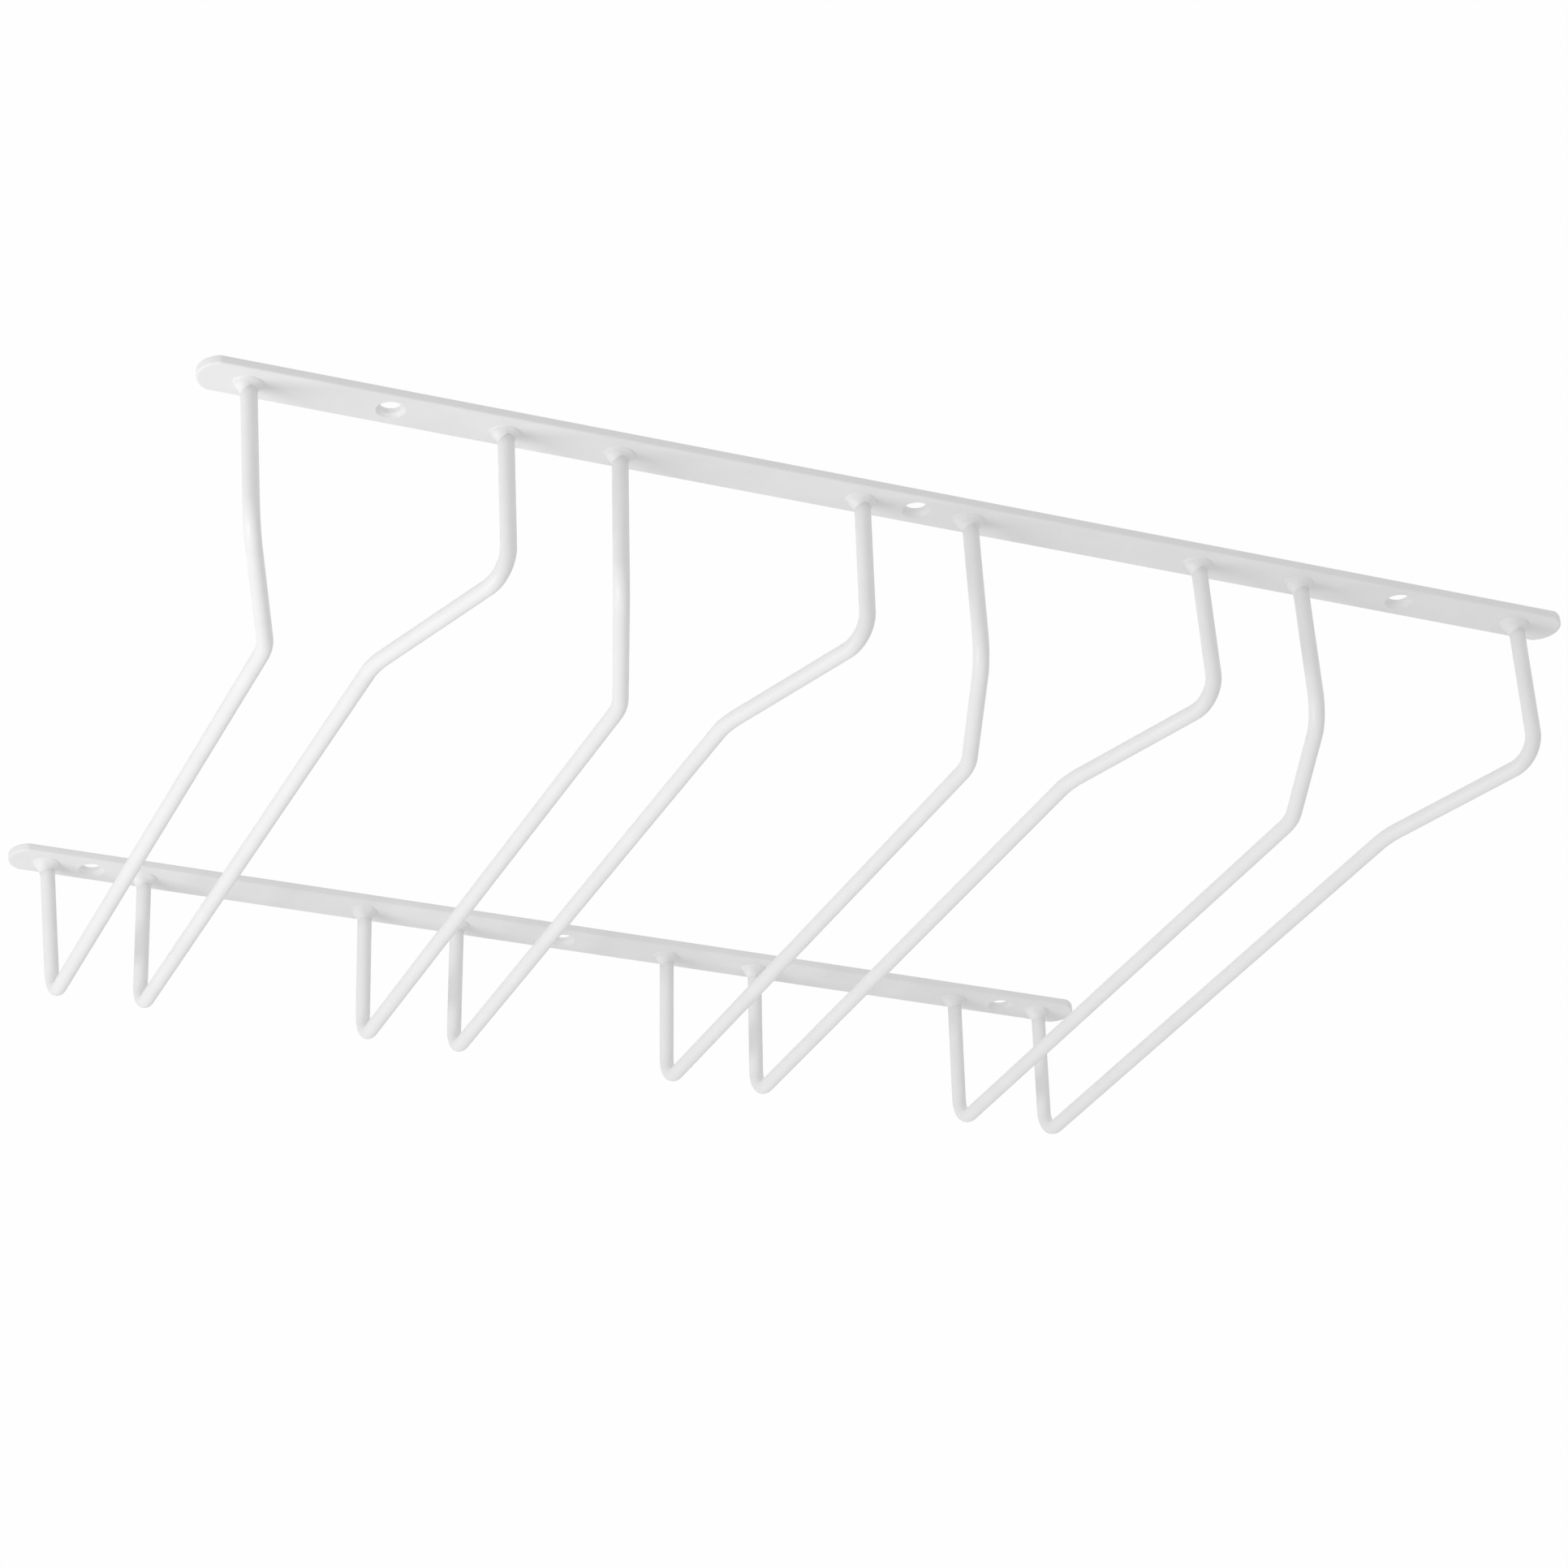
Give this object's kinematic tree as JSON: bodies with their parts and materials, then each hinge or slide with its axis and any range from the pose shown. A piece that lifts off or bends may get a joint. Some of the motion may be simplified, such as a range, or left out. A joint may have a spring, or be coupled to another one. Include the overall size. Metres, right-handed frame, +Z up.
{
  "type": "hanging wine glass rack",
  "caption": "Under-cabinet rack that holds stemmed glasses upside down in lanes between pairs of bent wires welded to two screw-on bars.",
  "frame": {"origin": "centre of the mounting plane, in which the top faces of both bars lie, midway between the bars and midway along them", "axes": "+X along the bars, +Y from the open front bar to the rear bar, +Z up into the cabinet"},
  "size_m": [0.4352, 0.312, 0.0553],
  "materials": {
    "white_powder_coat": "satin white powder coat over steel"
  },
  "bodies": {
    "root": {"front_bar": "white_powder_coat", "rear_bar": "white_powder_coat", "wire_1_left": "white_powder_coat", "wire_1_right": "white_powder_coat", "wire_2_left": "white_powder_coat", "wire_2_right": "white_powder_coat", "wire_3_left": "white_powder_coat", "wire_3_right": "white_powder_coat", "wire_4_left": "white_powder_coat", "wire_4_right": "white_powder_coat", "weld_1_left_front": "white_powder_coat", "weld_1_left_rear": "white_powder_coat", "weld_1_right_front": "white_powder_coat", "weld_1_right_rear": "white_powder_coat", "weld_2_left_front": "white_powder_coat", "weld_2_left_rear": "white_powder_coat", "weld_2_right_front": "white_powder_coat", "weld_2_right_rear": "white_powder_coat", "weld_3_left_front": "white_powder_coat", "weld_3_left_rear": "white_powder_coat", "weld_3_right_front": "white_powder_coat", "weld_3_right_rear": "white_powder_coat", "weld_4_left_front": "white_powder_coat", "weld_4_left_rear": "white_powder_coat", "weld_4_right_front": "white_powder_coat", "weld_4_right_rear": "white_powder_coat"}
  },
  "joints": []
}
